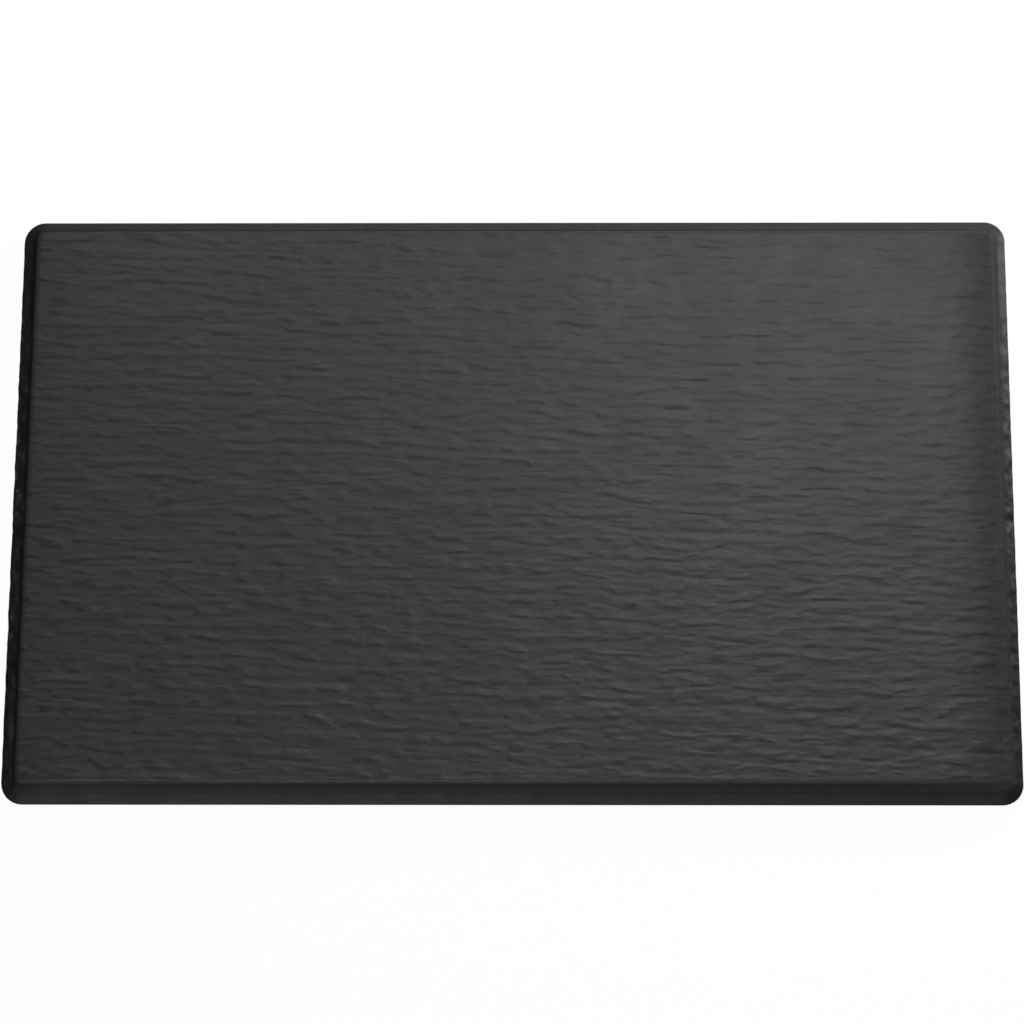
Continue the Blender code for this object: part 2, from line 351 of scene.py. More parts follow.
def add_face_grid(shell, level):
    """Starts the shell as a grid over the serving face, with round corners."""
    half = Vector((shell.length / 2.0 - level.end_inset, shell.width / 2.0 - level.inset))
    bpy.ops.mesh.primitive_grid_add(x_subdivisions=FACE_COLUMNS, y_subdivisions=FACE_ROWS, size=1.0)
    piece = bpy.context.object
    bpy.ops.object.mode_set(mode="EDIT")
    columns = grid_lines(half.x, level.radius, FACE_COLUMNS)
    rows = grid_lines(half.y, level.radius, FACE_ROWS)
    middle = half - Vector((level.radius, level.radius))
    for point in edited().verts:
        x = columns[round((point.co.x + 0.5) * FACE_COLUMNS)]
        y = rows[round((point.co.y + 0.5) * FACE_ROWS)]
        over_x = over_corner(x, middle.x, level.radius)
        over_y = over_corner(y, middle.y, level.radius)
        if over_x and over_y:
            draw_in = max(over_x, over_y) / math.hypot(over_x, over_y)
            x = math.copysign(middle.x + over_x * draw_in * level.radius, x)
            y = math.copysign(middle.y + over_y * draw_in * level.radius, y)
        point.co = (x, y, level.height)
    show_edit()
    return piece


def on_level(shell, old, new):
    """Gives the function that takes a point of one level to its place on another."""
    half = Vector((shell.length / 2.0, shell.width / 2.0))
    old_middle = half - Vector((old.end_inset + old.radius, old.inset + old.radius))
    new_middle = half - Vector((new.end_inset + new.radius, new.inset + new.radius))

    def place(point):
        over = Vector((abs(point.x) - old_middle.x, abs(point.y) - old_middle.y))
        if over.x > 0.0 and over.y > 0.0:
            spot = new_middle + over * (new.radius / old.radius)
        elif over.y > 0.0:
            spot = Vector((abs(point.x) * new_middle.x / old_middle.x, new_middle.y + new.radius))
        else:
            spot = Vector((new_middle.x + new.radius, abs(point.y) * new_middle.y / old_middle.y))
        return Vector((math.copysign(spot.x, point.x), math.copysign(spot.y, point.y), new.height))

    return place


def foot_axes():
    """Where the feet stand, in plan."""
    axes = []
    for node in FOOT_NODES:
        low, high = (Vector(corner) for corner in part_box(node))
        axes.append(((low + high) / 2.0).to_2d())
    return axes


def round_axis(axes, radius, height):
    """Gives the function that puts a point on a circle round the axis nearest to it."""

    def place(point):
        axis = min(axes, key=lambda spot: (point.to_2d() - spot).length)
        spot = axis + (point.to_2d() - axis).normalized() * radius
        return Vector((spot.x, spot.y, height))

    return place


def add_hollow_roof(shell):
    """Closes the underside with the hollow's roof and draws the bosses and sockets out of it."""
    loops = boss_loops(shell)
    axes = foot_axes()
    radius, height = loops[0]
    for axis in axes:
        bpy.ops.mesh.primitive_circle_add(vertices=BOSS_SIDES, radius=radius, fill_type="NOTHING",
                                          location=(axis.x, axis.y, height))
    select_open_edges()
    bpy.ops.mesh.fill(use_beauty=True)
    select_open_edges()
    for radius, height in loops[1:]:
        extrude_loops(round_axis(axes, radius, height))
    select_open_edges()
    bpy.ops.mesh.fill_holes(sides=BOSS_SIDES)


# The shell's relief and chips

# Slack in telling the shell's outside from its underside
OUTSIDE_SLACK = 0.0001

# How strongly the edge is chipped along the tray's width: places from front to back, and shares
CHIP_PLACES = (-0.16, -0.06, 0.02, 0.07, 0.16)
CHIP_SHARES = (0.45, 0.85, 1.0, 0.6, 0.35)

# Height above the rim from which the chips have their full depth
CHIP_MARGIN = 0.0006

# Depth of the chips at the shoulder's foot, and the part of the shoulder that stays smooth, as shares
SHOULDER_CHIP = 0.5
SMOOTH_SHOULDER = 0.3

# The crease starts below the flange's top, is whole above it and fades over a share of the shoulder
CREASE_BELOW = 0.0008
CREASE_ABOVE = 0.0004
CREASE_FADE = 0.35

# How suddenly the face falls at the short ends
FALL_POWER = 4

# Weight of the face from which a polygon has its material
FACE_FROM = 0.3

# A layer of chips: its group, a scoop's sizes, its depth as a share of the left chip, its turn in degrees
Chips = namedtuple("Chips", "name group sizes depth turn")
CHIP_LAYERS = (
    Chips("chips", "flange", (0.009, 0.0082, 0.007), 1.0, 20.0),
    Chips("splinters", "flange", (0.0045, 0.0045, 0.0035), 0.5, 35.0),
    Chips("wander", "end_crease", (0.020, 0.024, 0.020), 0.87, 10.0),
)


def mesh_points(piece):
    """The places of a mesh's points as an array."""
    points = np.empty(len(piece.data.vertices) * 3)
    piece.data.vertices.foreach_get("co", points)
    return points.reshape(-1, 3)


def set_group(piece, name, weights):
    """Adds a vertex group with a weight for each point."""
    group = piece.vertex_groups.new(name=name)
    for index in np.flatnonzero(weights > 0.0):
        group.add([int(index)], float(weights[index]), "REPLACE")


def outer_points(shell, points):
    """Which points lie on the outside of the shell, and how much each belongs to a short side."""
    middle = np.array((shell.length / 2.0 - shell.rim_corner, shell.width / 2.0 - shell.rim_corner))
    over = np.abs(points[:, :2]) - middle
    out = np.maximum(over, 0.0)
    inset = shell.rim_corner - np.hypot(out[:, 0], out[:, 1]) - np.minimum(over.max(axis=1), 0.0)
    reach = out.sum(axis=1)
    short = np.divide(out[:, 0], reach, out=np.zeros_like(reach), where=reach > 0.0)
    heights = points[:, 2]
    edge = (inset < shell.rim_land - OUTSIDE_SLACK) & (heights > shell.rim_foot + shell.rim_break)
    return edge | (heights > shell.top - shell.wall + OUTSIDE_SLACK), short


def weigh_shell(shell, piece):
    """Marks how strongly relief and chips act on each point; gives the face's share and the outside."""
    points = mesh_points(piece)
    heights = points[:, 2]
    outer, short = outer_points(shell, points)
    foot = shoulder_foot(shell)
    rise = np.clip((heights - foot) / (shell.top - foot), 0.0, 1.0)
    set_group(piece, "face", rise)
    steps = (flange_foot(shell), flange_foot(shell) + CHIP_MARGIN, flange_top(shell), foot,
             shell.top - shell.shoulder * SMOOTH_SHOULDER)
    chipped = np.interp(heights, steps, (shell.rim_chip, 1.0, 1.0, SHOULDER_CHIP, 0.0))
    depth = np.where(points[:, 0] < 0.0, 1.0, shell.right_chip)
    share = shell.long_chip + (depth - shell.long_chip) * short
    share *= np.interp(points[:, 1], CHIP_PLACES, CHIP_SHARES)
    set_group(piece, "flange", np.where(outer, chipped * share, 0.0))
    steps = (flange_top(shell) - CREASE_BELOW, flange_top(shell) + CREASE_ABOVE, foot,
             foot + CREASE_FADE * (shell.top - foot))
    crease = np.where(outer, np.interp(heights, steps, (0.0, 1.0, 1.0, 0.0)), 0.0)
    set_group(piece, "crease", crease)
    set_group(piece, "end_crease", crease * short)
    return rise, outer


def shape_ends(shell, piece):
    """Lets the face fall away towards the short sides, and moves the left crease in."""
    points = mesh_points(piece)
    outer, short = outer_points(shell, points)
    inward = np.interp(points[:, 0] + shell.length / 2.0, edge_insets(shell, shell.end_flange_run),
                       (0.0, shell.left_widening, shell.left_widening, 0.0))
    points[:, 0] += np.where(outer & (points[:, 0] < 0.0), inward * short, 0.0)
    start = shell.length / 2.0 - field_inset(shell) - shell.end_fall_run
    share = np.clip((np.abs(points[:, 0]) - start) / shell.end_fall_run, 0.0, 1.0)
    fall = np.where(points[:, 0] < 0.0, shell.left_fall, shell.right_fall)
    part = np.interp(points[:, 2], (flange_top(shell), shell.top), (0.0, 1.0))
    points[:, 2] -= np.where(outer, fall * share ** FALL_POWER * part, 0.0)
    piece.data.vertices.foreach_set("co", points.ravel())
    piece.data.update()


def raise_relief(shell, piece):
    """Gives the face its riven relief: the points of its group move up by the shared height."""
    tree = bpy.data.node_groups.new("riven_relief", "GeometryNodeTree")
    for side in ("INPUT", "OUTPUT"):
        tree.interface.new_socket("Geometry", in_out=side, socket_type="NodeSocketGeometry")
    given = tree.nodes.new("NodeGroupInput")
    result = tree.nodes.new("NodeGroupOutput")
    weight = add_node(tree, "GeometryNodeInputNamedAttribute", data_type="FLOAT")
    weight.inputs["Name"].default_value = "face"
    height, _ = riven_face(tree, add_node(tree, "GeometryNodeInputPosition").outputs[0])
    lift = calculate(tree, "MULTIPLY", height, shell.flake)
    rise = add_node(tree, "ShaderNodeCombineXYZ")
    tree.links.new(calculate(tree, "MULTIPLY", lift, weight.outputs[0]), rise.inputs["Z"])
    move = add_node(tree, "GeometryNodeSetPosition")
    tree.links.new(given.outputs[0], move.inputs["Geometry"])
    tree.links.new(rise.outputs[0], move.inputs["Offset"])
    tree.links.new(move.outputs[0], result.inputs[0])
    relief = piece.modifiers.new("riven_relief", "NODES")
    relief.node_group = tree
    bpy.ops.object.modifier_apply(modifier=relief.name)
    bpy.data.node_groups.remove(tree)


def strike_chips(piece, layer, depth):
    """Leaves scoops that meet in sharp ridges, as flakes struck off an edge do."""
    texture = bpy.data.textures.new(layer.name, "VORONOI")
    texture.noise_scale = 1.0
    guide = bpy.data.objects.new(layer.name, None)
    guide.scale = layer.sizes
    guide.rotation_euler.z = math.radians(layer.turn)
    bpy.context.scene.collection.objects.link(guide)
    bpy.context.view_layer.update()
    push = piece.modifiers.new(layer.name, "DISPLACE")
    push.texture = texture
    push.texture_coords = "OBJECT"
    push.texture_coords_object = guide
    push.vertex_group = layer.group
    push.strength = depth
    bpy.ops.object.modifier_apply(modifier=push.name)
    bpy.data.objects.remove(guide)
    bpy.data.textures.remove(texture)


def paint_shell(shell, piece, rise, outer):
    """Gives the face, the hewn edge and the underside their materials."""
    for make in (slate_face_material, hewn_edge_material, moulded_underside_material):
        piece.data.materials.append(make(shell))
    face, edge, underside = range(3)
    starts = np.empty(len(piece.data.polygons), dtype=np.int32)
    corners = np.empty(len(piece.data.loops), dtype=np.int32)
    piece.data.polygons.foreach_get("loop_start", starts)
    piece.data.loops.foreach_get("vertex_index", corners)
    kinds = np.where(np.logical_or.reduceat(outer[corners], starts), edge, underside)
    kinds[np.maximum.reduceat(rise[corners], starts) > FACE_FROM] = face
    piece.data.polygons.foreach_set("material_index", kinds.astype(np.int32))
    piece.data.update()


# Nodes


def add_node(tree, kind, **settings):
    """Adds a node and sets what it is told."""
    node = tree.nodes.new(kind)
    for key, value in settings.items():
        setattr(node, key, value)
    return node


def feed(tree, socket, value):
    """Links an output to a socket, or sets a plain value or colour on it."""
    if isinstance(value, bpy.types.NodeSocket):
        tree.links.new(value, socket)
    elif socket.type == "RGBA":
        socket.default_value = (*value, 1.0)
    else:
        socket.default_value = value


def feed_all(tree, node, *values):
    """Feeds a node's inputs in their order."""
    for socket, value in zip(node.inputs, values):
        feed(tree, socket, value)


def calculate(tree, operation, first, second=0.0, third=0.0):
    """A Math node's result."""
    node = add_node(tree, "ShaderNodeMath", operation=operation)
    feed_all(tree, node, first, second, third)
    return node.outputs[0]


def add_up(tree, *parts):
    """The sum of values, each times its share."""
    result = 0.0
    for value, share in parts:
        result = calculate(tree, "MULTIPLY_ADD", value, share, result)
    return result


def calculate_vector(tree, operation, first, second):
    """A Vector Math node's result."""
    node = add_node(tree, "ShaderNodeVectorMath", operation=operation)
    feed_all(tree, node, first, second)
    return node.outputs[0]


def axes_of(tree, vector):
    """The outputs X, Y and Z of a vector."""
    node = add_node(tree, "ShaderNodeSeparateXYZ")
    feed_all(tree, node, vector)
    return node.outputs


def object_place(tree):
    """The place on the object, in metres."""
    return add_node(tree, "ShaderNodeTexCoord").outputs["Object"]


def remap(tree, value, low, high, new_low=0.0, new_high=1.0, easing="LINEAR"):
    """A value taken from one range to another and held there."""
    node = add_node(tree, "ShaderNodeMapRange", interpolation_type=easing)
    feed_all(tree, node, value, low, high, new_low, new_high)
    return node.outputs["Result"]


def smooth_share(tree, value, low, high):
    """A value eased from nothing at one bound to the whole at the other."""
    return remap(tree, value, low, high, easing="SMOOTHSTEP")


def blend(tree, share, first, second):
    """A mix of two colours."""
    node = add_node(tree, "ShaderNodeMix", data_type="RGBA")
    feed(tree, node.inputs["Factor"], share)
    for name, colour in (("A", first), ("B", second)):
        feed(tree, next(s for s in node.inputs if s.name == name and s.type == "RGBA"), colour)
    return next(s for s in node.outputs if s.type == "RGBA")


def mix_shaders(tree, share, first, second):
    """A mix of two shaders."""
    node = add_node(tree, "ShaderNodeMixShader")
    feed_all(tree, node, share, first, second)
    return node.outputs[0]


def noise(tree, vector, detail, roughness=0.5, distortion=0.0, dimensions="3D"):
    """A Noise Texture's value over a vector that already has its scale."""
    node = add_node(tree, "ShaderNodeTexNoise", noise_dimensions=dimensions)
    for name, value in (("Vector", vector), ("Scale", 1.0), ("Detail", detail), ("Roughness", roughness),
                        ("Distortion", distortion)):
        feed(tree, node.inputs[name], value)
    return node.outputs["Fac"]


def plan_noise(tree, place, length, width, seed, detail=2.0):
    """Noise in plan, stretched along the tray; each seed shows another stretch of it."""
    counted = calculate_vector(tree, "DIVIDE", place, (length, width, 1.0))
    moved = calculate_vector(tree, "ADD", counted, (seed, seed * 0.7, 0.0))
    return noise(tree, moved, detail, dimensions="2D")


def stretched_noise(tree, length, width, detail, roughness=0.5, distortion=0.0):
    """Noise on the object, stretched along the tray."""
    sizes = add_node(tree, "ShaderNodeCombineXYZ")
    feed_all(tree, sizes, length, width, width)
    counted = calculate_vector(tree, "DIVIDE", object_place(tree), sizes.outputs[0])
    return noise(tree, counted, detail, roughness, distortion)


# The riven relief, which the mesh and the material of the face share

# A layer of flakes: their pitch and length, the length of the gaps, their height and the noise's seed
Flakes = namedtuple("Flakes", "pitch length fade_length height seed")
BROAD_FLAKES = Flakes(0.0086, 0.042, 0.0115, 0.8, 3.0)
FINE_FLAKES = Flakes(0.0052, 0.026, 0.009, 0.5, 11.0)

# How far flakes wander, and the widths over which they wander and fade, in pitches
WANDER = 1.6
WANDER_WIDTH = 1.6
FADE_WIDTH = 1.1

# Values of the noise between which flakes fade in, and how far its seed is from the layer's
FADE = (0.44, 0.62)
FADE_SEED = 7.0

# Share of a flake's pitch that its step takes
STEP_SHARE = 0.4

# Ripples over the flakes: length, width, seed and detail
STROKES = (0.0095, 0.0052, 23.0, 1.3)
STRANDS = (0.042, 0.006, 41.0, 1.0)
STRAND_HEIGHT = 0.6

# Turn of the flakes about the tray's length, and the relief's strength from front to back and left to right
FLAKE_TURN = math.radians(2.0)
DEPTH_STRENGTH = (-0.15, 0.03, 1.65, 0.98)
SIDE_STRENGTH = (-0.2, 0.2, 1.15, 0.83)

# Mean height of the relief before it is set about the face, in units of the tallest flakes
RELIEF_MIDDLE = 0.96


def flake_layer(tree, place, flakes):
    """Flakes that rise gently towards the front and end there in steps: their height, and the steps."""
    wander = plan_noise(tree, place, flakes.length, flakes.pitch * WANDER_WIDTH, flakes.seed)
    drift = calculate(tree, "MULTIPLY_ADD", wander, WANDER, flakes.seed)
    run = calculate(tree, "DIVIDE", axes_of(tree, place)["Y"], flakes.pitch)
    share = calculate(tree, "FRACT", calculate(tree, "ADD", run, drift))
    saw = calculate(tree, "SUBTRACT", smooth_share(tree, share, 0.0, STEP_SHARE), share)
    off_step = calculate(tree, "ABSOLUTE", calculate(tree, "MULTIPLY_ADD", share, 2.0 / STEP_SHARE, -1.0))
    step = calculate(tree, "MAXIMUM", calculate(tree, "SUBTRACT", 1.0, off_step), 0.0)
    cloud = plan_noise(tree, place, flakes.fade_length, flakes.pitch * FADE_WIDTH,
                       flakes.seed + FADE_SEED, detail=1.0)
    fade = calculate(tree, "MULTIPLY", smooth_share(tree, cloud, *FADE), flakes.height)
    return calculate(tree, "MULTIPLY", saw, fade), calculate(tree, "MULTIPLY", step, fade)


def riven_face(tree, place):
    """The riven face in plan: its height in units of the tallest flakes, and where its steps are."""
    turned = add_node(tree, "ShaderNodeVectorRotate", rotation_type="Z_AXIS")
    turned.inputs["Angle"].default_value = FLAKE_TURN
    feed(tree, turned.inputs["Vector"], place)
    along = turned.outputs[0]
    broad, broad_step = flake_layer(tree, along, BROAD_FLAKES)
    fine, fine_step = flake_layer(tree, along, FINE_FLAKES)
    relief = add_up(tree, (broad, 1.0), (fine, 1.0), (plan_noise(tree, along, *STROKES), 1.0),
                    (plan_noise(tree, along, *STRANDS), STRAND_HEIGHT))
    axes = axes_of(tree, place)
    strength = calculate(tree, "MULTIPLY", remap(tree, axes["Y"], *DEPTH_STRENGTH),
                         remap(tree, axes["X"], *SIDE_STRENGTH))
    height = calculate(tree, "MULTIPLY", calculate(tree, "SUBTRACT", relief, RELIEF_MIDDLE), strength)
    steps = calculate(tree, "MULTIPLY", calculate(tree, "ADD", broad_step, fine_step), strength)
    return height, calculate(tree, "MINIMUM", steps, 1.0)


# Effects that several materials share

HEIGHT_AND_TONE = {"Height": "Float", "Tone": "Float"}


def shared_group(name, inputs, outputs, build):
    """A node group with named sockets of given kinds, built when it is first asked for."""
    if name in bpy.data.node_groups:
        return bpy.data.node_groups[name]
    tree = bpy.data.node_groups.new(name, "ShaderNodeTree")
    for side, sockets in (("INPUT", inputs), ("OUTPUT", outputs)):
        for socket, kind in sockets.items():
            tree.interface.new_socket(socket, in_out=side, socket_type="NodeSocket" + kind)
    given = tree.nodes.new("NodeGroupInput")
    result = tree.nodes.new("NodeGroupOutput")
    feed_all(tree, result, *build(tree, given.outputs))
    return tree


def place_group(tree, group, **values):
    """Places a node group with its own values and gives its outputs."""
    node = add_node(tree, "ShaderNodeGroup", node_tree=group)
    for name, value in values.items():
        feed(tree, node.inputs[name], value)
    return node.outputs


def streak_group():
    """Riven streaks: ridges and finer strands that run one way, with a tone that follows them."""

    def build(tree, given):
        broad = stretched_noise(tree, given["Length"], given["Width"], 3.0, roughness=0.55, distortion=0.5)
        strand_length = calculate(tree, "MULTIPLY", given["Length"], 0.35)
        strand_width = calculate(tree, "MULTIPLY", given["Width"], 0.4)
        strands = stretched_noise(tree, strand_length, strand_width, 2.0)
        ridge = calculate(tree, "ABSOLUTE", calculate(tree, "SUBTRACT", broad, 0.5))
        return add_up(tree, (ridge, -1.6), (strands, 0.35)), add_up(tree, (broad, 0.6), (strands, 0.4))

    return shared_group("riven_streaks", {"Length": "Float", "Width": "Float"}, HEIGHT_AND_TONE, build)


def grain_group():
    """Fine even grain of a moulded surface, with a cloudy tone."""

    def build(tree, given):
        return (stretched_noise(tree, given["Size"], given["Size"], 2.0),
                stretched_noise(tree, given["Cloud"], given["Cloud"], 4.0))

    return shared_group("mould_grain", {"Size": "Float", "Cloud": "Float"}, HEIGHT_AND_TONE, build)


def crease_shade_and_highlight_group():
    """Painted shade in the crease above the flange, which passes into another colour at each short end:
    deeper painted shade at the left, a painted highlight at the right.
    """

    def build(tree, given):
        across = axes_of(tree, object_place(tree))["X"]
        start = calculate(tree, "SUBTRACT", given["End"], given["Run"])
        at_end = remap(tree, calculate(tree, "ABSOLUTE", across), start, given["End"])
        ends = blend(tree, calculate(tree, "GREATER_THAN", across, 0.0), given["Left"], given["Right"])
        return (blend(tree, at_end, given["Dust"], ends),)

    return shared_group("crease_dust", {"Dust": "Color", "Left": "Color", "Right": "Color",
                                        "End": "Float", "Run": "Float"}, {"Colour": "Color"}, build)


# Materials

# Tones between which a material passes from its first colour or roughness to its second
COLOUR_TONES = (0.35, 0.65)
GLOSS_TONES = (0.3, 0.7)

# Roughness of the crease and the shoulder above it, where the face's polish ends
DULL = 0.75


def new_material(name, ior=1.5, specular=0.5):
    """A material with its node tree and its one shader."""
    material = bpy.data.materials.new(name)
    material.use_nodes = True
    shader = material.node_tree.nodes["Principled BSDF"]
    shader.inputs["IOR"].default_value = ior
    shader.inputs["Specular IOR Level"].default_value = specular
    return material, material.node_tree, shader


def dress(tree, shader, colour, roughness, height, distance, strength):
    """Feeds a colour, a roughness and a bump to the shader."""
    bump = add_node(tree, "ShaderNodeBump")
    bump.inputs["Distance"].default_value = distance
    bump.inputs["Strength"].default_value = strength
    feed(tree, bump.inputs["Height"], height)
    feed(tree, shader.inputs["Base Color"], colour)
    feed(tree, shader.inputs["Roughness"], roughness)
    feed(tree, shader.inputs["Normal"], bump.outputs["Normal"])


def two_tones(tree, tone, first, second):
    """A colour that follows a tone from one colour to another."""
    return blend(tree, remap(tree, tone, *COLOUR_TONES), first, second)


def lighter(colour, factor):
    """A lighter shade of a colour."""
    return tuple(min(1.0, channel * factor) for channel in colour)


def point_weight(tree, group):
    """How strongly a vertex group holds the surface."""
    return add_node(tree, "ShaderNodeAttribute", attribute_name=group).outputs["Fac"]


def crease_dust(tree, shell):
    """Colour of the crease: painted shade along the long sides, deeper painted shade at the left end and a
    painted highlight at the right end.
    """
    # At the left end the crease takes the edge's darkest colour: painted shade.
    dust = place_group(tree, crease_shade_and_highlight_group(), Dust=shell.crease_shade_colour, Left=shell.edge_dark,
                       Right=shell.crease_highlight_colour, End=shell.length / 2.0 - field_inset(shell),
                       Run=shell.rim_corner)
    return dust["Colour"]


def slate_face_material(shell):
    """Matte slate-look face: riven flakes along the tray over a fine grain, with painted shade on the
    flakes' steps and in the crease at the shoulder's foot.
    """
    material, tree, shader = new_material("slate_face", specular=0.245)
    streaks = place_group(tree, streak_group(), Length=0.018, Width=0.0021)
    grain = place_group(tree, grain_group(), Size=0.0006, Cloud=0.04)
    tone = add_up(tree, (streaks["Tone"], 0.6), (grain["Tone"], 0.4))
    riven, steps = riven_face(tree, object_place(tree))
    # Painted shade: the flakes' steps take the darker step colour.
    slate = blend(tree, steps, two_tones(tree, tone, shell.face_dark, shell.face_light), shell.face_step)
    on_face = smooth_share(tree, point_weight(tree, "face"), 0.5, 1.0)
    # Painted shade: the shoulder's foot passes into the crease's painted colour below the face.
    colour = blend(tree, on_face, crease_dust(tree, shell), slate)
    polish = remap(tree, tone, *GLOSS_TONES, 0.40 - DULL, 0.32 - DULL)
    roughness = calculate(tree, "MULTIPLY_ADD", polish, on_face, DULL)
    height = add_up(tree, (riven, 1.0), (streaks["Height"], 0.12), (grain["Height"], 0.05))
    dress(tree, shader, colour, roughness, height, distance=shell.flake, strength=0.6)
    return material


def hewn_edge_material(shell):
    """The same slate where flakes were struck off the edge, painted far darker than the face as the shade on
    the tray's sides.
    """
    material, tree, shader = new_material("hewn_edge", specular=0.39)
    streaks = place_group(tree, streak_group(), Length=0.006, Width=0.0024)
    grain = place_group(tree, grain_group(), Size=0.0007, Cloud=0.008)
    tone = add_up(tree, (streaks["Tone"], 0.5), (grain["Tone"], 0.5))
    crease = point_weight(tree, "crease")
    # Painted shade: the edge's colours are far darker than the face's.
    hewn = two_tones(tree, tone, shell.edge_dark, shell.edge_light)
    colour = blend(tree, crease, hewn, crease_dust(tree, shell))
    roughness = add_up(tree, (remap(tree, tone, *GLOSS_TONES, 0.56, 0.44), 1.0), (crease, 0.28))
    height = add_up(tree, (streaks["Height"], 1.0), (grain["Height"], 0.3))
    dress(tree, shader, colour, roughness, height, distance=0.00015, strength=0.5)
    return material


def moulded_underside_material(shell):
    """Plain satin underside with the fine grain of the mould."""
    material, tree, shader = new_material("moulded_underside")
    grain = place_group(tree, grain_group(), Size=0.0004, Cloud=0.05)
    colour = two_tones(tree, grain["Tone"], shell.under_colour, lighter(shell.under_colour, 1.3))
    roughness = remap(tree, grain["Tone"], *GLOSS_TONES, 0.38, 0.48)
    dress(tree, shader, colour, roughness, grain["Height"], distance=0.00005, strength=0.4)
    return material


def silicone_material(foot):
    """Matte black silicone with a little dust on it."""
    material, tree, shader = new_material("foot_silicone", ior=1.43)
    grain = place_group(tree, grain_group(), Size=0.0003, Cloud=0.004)
    colour = blend(tree, remap(tree, grain["Tone"], 0.4, 0.7), foot.colour, lighter(foot.colour, 1.6))
    roughness = remap(tree, grain["Tone"], *GLOSS_TONES, 0.62, 0.74)
    dress(tree, shader, colour, roughness, grain["Height"], distance=0.00004, strength=0.5)
    return material


# The feet

FOOT_SIDES = 64

# A lip's lead-in and widest place and the neck below the last lip, as shares of the lips' pitch
LIP_LEAD = 0.1
LIP_WIDEST = 0.75
NECK = 0.5

# Radius of the stem's tip, width of a groove's flank and reach of the cup's curve, as shares
STEM_TIP = 0.8
GROOVE_FLANK = 0.3
CUP_REACH = 0.9


def foot_loops(foot, round_steps=4, grooves=2):
    """Radius and height of the loops of a foot, from the stem's end down to the cup in the sole."""
    pitch = (foot.stem_top - foot.pad_top) / (foot.lips + NECK)
    loops = [(foot.core_radius * STEM_TIP, foot.stem_top)]
    for lip in range(foot.lips):
        tip = foot.stem_top - pitch * lip
        loops += [
            (foot.core_radius, tip - pitch * LIP_LEAD),
            (foot.stem_radius, tip - pitch * LIP_WIDEST),
            (foot.stem_radius, tip - pitch * (LIP_WIDEST + LIP_LEAD)),
            (foot.core_radius, tip - pitch),
        ]
    loops += [
        (foot.core_radius, foot.pad_top + foot.pad_break),
        (foot.core_radius + foot.pad_break, foot.pad_top),
        (foot.pad_radius - foot.pad_break, foot.pad_top),
        (foot.pad_radius, foot.pad_top - foot.pad_break),
    ]
    start = foot.pad_radius - foot.pad_round
    loops += arc((start, foot.pad_round), foot.pad_round, -math.pi / 2.0, -math.pi, round_steps)
    land = (start - foot.cup_radius) / (2 * grooves + 1)
    for groove in range(grooves):
        edge = start - land * (2 * groove + 1)
        loops += [
            (edge, 0.0),
            (edge - land * GROOVE_FLANK, foot.groove_depth),
            (edge - land * (1.0 - GROOVE_FLANK), foot.groove_depth),
            (edge - land, 0.0),
        ]
    for step in range(1, round_steps + 1):
        angle = math.pi / 2.0 * step / round_steps
        loops.append((foot.cup_radius * math.cos(angle * CUP_REACH), foot.cup_depth * math.sin(angle)))
    return loops


def model_foot(foot):
    """Models one foot about the origin's axis, loop by loop."""
    clear_selection()
    loops = foot_loops(foot)
    radius, height = loops[0]
    bpy.ops.mesh.primitive_circle_add(vertices=FOOT_SIDES, radius=radius, fill_type="NGON",
                                      location=(0.0, 0.0, height))
    piece = bpy.context.object
    bpy.ops.object.transform_apply()
    bpy.ops.object.mode_set(mode="EDIT")
    select_open_edges()
    for radius, height in loops[1:]:
        extrude_loops(round_axis([Vector((0.0, 0.0))], radius, height))
    select_open_edges()
    bpy.ops.mesh.fill_holes(sides=FOOT_SIDES)
    leave_closed_mesh()
    piece.data.materials.append(silicone_material(foot))
    return piece


# The stage

FLOOR_SIZE = 12.0
WHITE = (1.0, 1.0, 1.0)

# Share of the floor that glows where the camera sees it, and how brightly; the rest holds the shadow
FLOOR_GLOW = 0.9
GLOW_STRENGTH = 1.05

# From where to where, along the tray, the floor's bounce passes from its left level to its right one
BOUNCE_RUN = (0.2, 0.3)

# A lamp: where it stands, what it faces, its sides in metres and the setting of its power
Softbox = namedtuple("Softbox", "name place aim width depth power")
CENTRE = (0.0, 0.0, 0.0)
SOFTBOXES = (
    Softbox("sky_softbox", (0.30, 0.82, 1.8), CENTRE, 0.5, 0.4, "right_sky_power"),
    Softbox("left_sky_softbox", (-0.45, 1.15, 1.75), CENTRE, 0.7, 0.4, "left_sky_power"),
    Softbox("top_softbox", (0.1, 0.1, 2.2), CENTRE, 0.6, 0.6, "top_power"),
    Softbox("right_softbox", (0.73, 0.45, 0.22), (0.26, 0.1, 0.01), 0.3, 0.2, "right_power"),
    Softbox("right_strip", (1.3, 0.05, 0.30), (0.26, 0.0, 0.01), 1.2, 0.3, "right_strip_power"),
    Softbox("left_softbox", (-0.75, 0.29, 0.30), (-0.26, 0.05, 0.01), 0.3, 0.2, "left_power"),
    Softbox("front_softbox", (-0.2, -0.85, 1.8), CENTRE, 0.6, 0.3, "front_power"),
    Softbox("front_strip", (-0.3, -1.4, 0.10), CENTRE, 1.6, 0.2, "front_strip_power"),
    Softbox("back_softbox", (0.2, 1.38, 0.67), CENTRE, 1.2, 0.3, "back_power"),
)


def camera_ray(tree):
    """Whether the camera looks at the surface."""
    return add_node(tree, "ShaderNodeLightPath").outputs["Is Camera Ray"]


